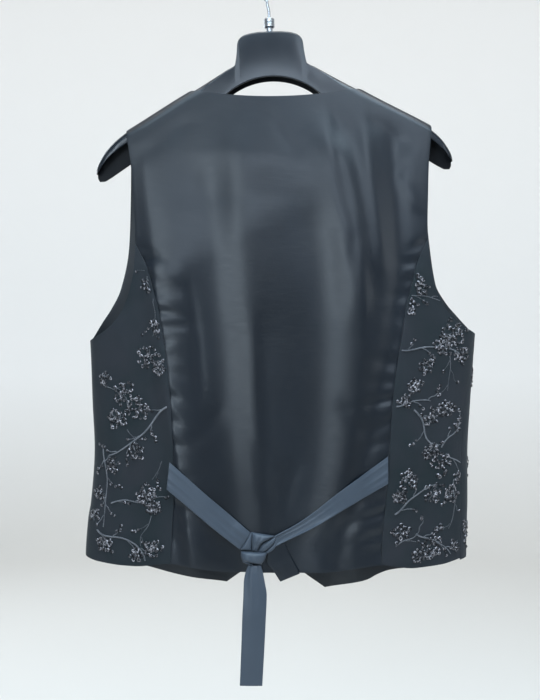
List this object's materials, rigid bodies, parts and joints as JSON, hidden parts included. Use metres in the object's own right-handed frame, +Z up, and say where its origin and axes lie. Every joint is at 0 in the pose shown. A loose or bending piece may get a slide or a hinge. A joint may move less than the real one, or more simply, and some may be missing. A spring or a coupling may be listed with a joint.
{
  "type": "waistcoat on a suit hanger",
  "caption": "Dark waistcoat with a satin back tied by a half belt and embroidered crepe sides and fronts, hanging buttoned on a black plastic suit hanger with a steel hook.",
  "frame": {"origin": "on the underside of the hook's bend, where a rod would carry it", "axes": "+Z up, +Y towards the wearer's front, +X towards the wearer's right, so the back faces -Y"},
  "size_m": [0.4743, 0.0941, 0.8649],
  "materials": {
    "satin": "soft satin sheen",
    "crepe": "matte crepe, embroidered",
    "button": "glossy",
    "plastic": "smooth moulded plastic with a soft sheen",
    "steel": "plated steel"
  },
  "bodies": {
    "root": {"back": "satin", "side_back_left": "crepe", "side_back_right": "crepe", "front_left": "crepe", "front_right": "crepe", "tie_left": "satin", "tie_right": "satin", "knot_loop": "satin", "knot_wrap": "satin", "tail_long": "satin", "tail_short": "satin", "button_1": "button", "button_2": "button", "button_3": "button", "button_4": "button", "button_5": "button", "hanger": "plastic", "ferrule": "steel", "hook": "steel"}
  },
  "joints": []
}
